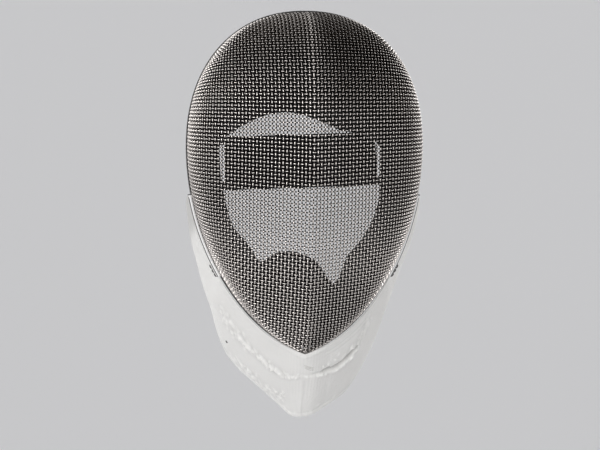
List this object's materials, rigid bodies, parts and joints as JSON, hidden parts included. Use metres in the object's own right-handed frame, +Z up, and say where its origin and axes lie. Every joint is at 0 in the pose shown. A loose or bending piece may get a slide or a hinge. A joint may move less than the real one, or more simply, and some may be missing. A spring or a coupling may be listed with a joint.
{
  "type": "fencing mask",
  "caption": "Fencing mask with a creased dome of woven steel wire, a thin steel rim, a white padded throat bib, a dark padded lining and an elastic back pad.",
  "frame": {"origin": "middle of the opening that the head goes into, at the padded lining", "axes": "+Z up with the mask as worn on an upright head, -Y the way the face looks, +X to the right as seen from the front"},
  "size_m": [0.188, 0.148, 0.3305],
  "materials": {
    "mesh_steel": "bare drawn wire",
    "rim_steel": "dark satin",
    "bib_cloth": "matt woven",
    "piping_cloth": "smooth woven",
    "lining_cloth": "matt padded",
    "pad_cloth": "matt padded",
    "strap_elastic": "ribbed elastic"
  },
  "bodies": {
    "root": {"mesh_face_left": "mesh_steel", "mesh_face_right": "mesh_steel", "rim_band": "rim_steel", "bib": "bib_cloth", "bib_piping_left": "piping_cloth", "bib_piping_right": "piping_cloth", "head_lining": "lining_cloth", "chin_lining": "lining_cloth", "back_pad": "pad_cloth", "strap_upper": "strap_elastic", "strap_lower": "strap_elastic"}
  },
  "joints": []
}
